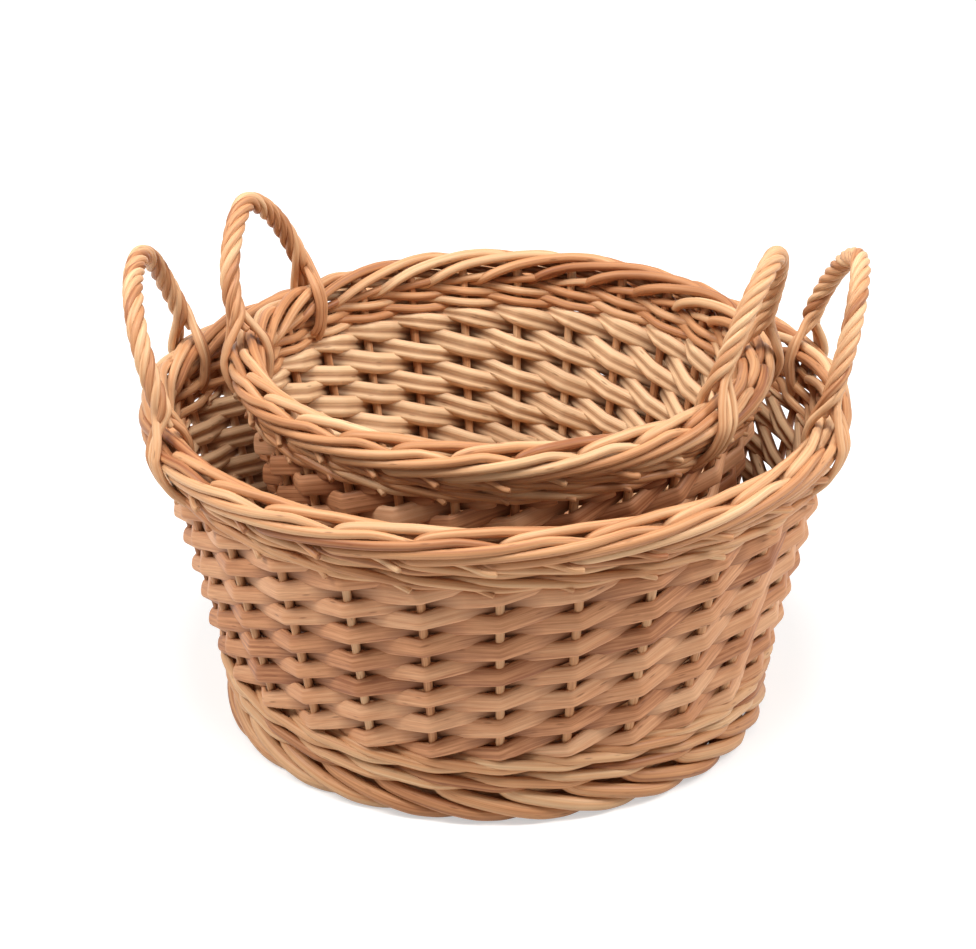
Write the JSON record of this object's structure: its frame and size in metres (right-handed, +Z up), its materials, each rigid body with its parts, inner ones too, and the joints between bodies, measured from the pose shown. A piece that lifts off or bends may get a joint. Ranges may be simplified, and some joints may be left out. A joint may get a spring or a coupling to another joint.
{
  "type": "nesting pair of round willow baskets",
  "caption": "Round woven willow basket with twisted rope handles, holding a smaller matching basket that lifts out.",
  "frame": {"origin": "on the ground, under the middle of the part, on the large basket's axis", "axes": "+Z up along the large basket's axis, +X towards its right handle, +Y away from the front"},
  "size_m": [0.414, 0.3984, 0.2916],
  "materials": {
    "willow_rod": "satin",
    "willow_split": "satin",
    "willow_stick": "matt",
    "willow_rope": "satin"
  },
  "bodies": {
    "large_basket": {"large_base_slit_sticks": "willow_stick", "large_base_through_sticks": "willow_stick", "large_base_weave": "willow_split", "large_foot_border": "willow_rod", "large_stakes_and_border": "willow_rod", "large_bottom_wale": "willow_rod", "large_wall_randing": "willow_split", "large_top_wale": "willow_rod", "large_handle_core_left": "willow_rod", "large_handle_core_right": "willow_rod", "large_handle_rope_left": "willow_rope", "large_handle_rope_right": "willow_rope"},
    "small_basket": {"small_base_slit_sticks": "willow_stick", "small_base_through_sticks": "willow_stick", "small_base_weave": "willow_split", "small_foot_border": "willow_rod", "small_stakes_and_border": "willow_rod", "small_bottom_wale": "willow_rod", "small_wall_randing": "willow_split", "small_top_wale": "willow_rod", "small_handle_core_left": "willow_rod", "small_handle_core_right": "willow_rod", "small_handle_rope_left": "willow_rope", "small_handle_rope_right": "willow_rope"}
  },
  "joints": [
    {"name": "lift_out", "type": "slide", "parent": "large_basket", "child": "small_basket", "axis": [0, 0, 1], "range_m": [0, 0.26]}
  ]
}
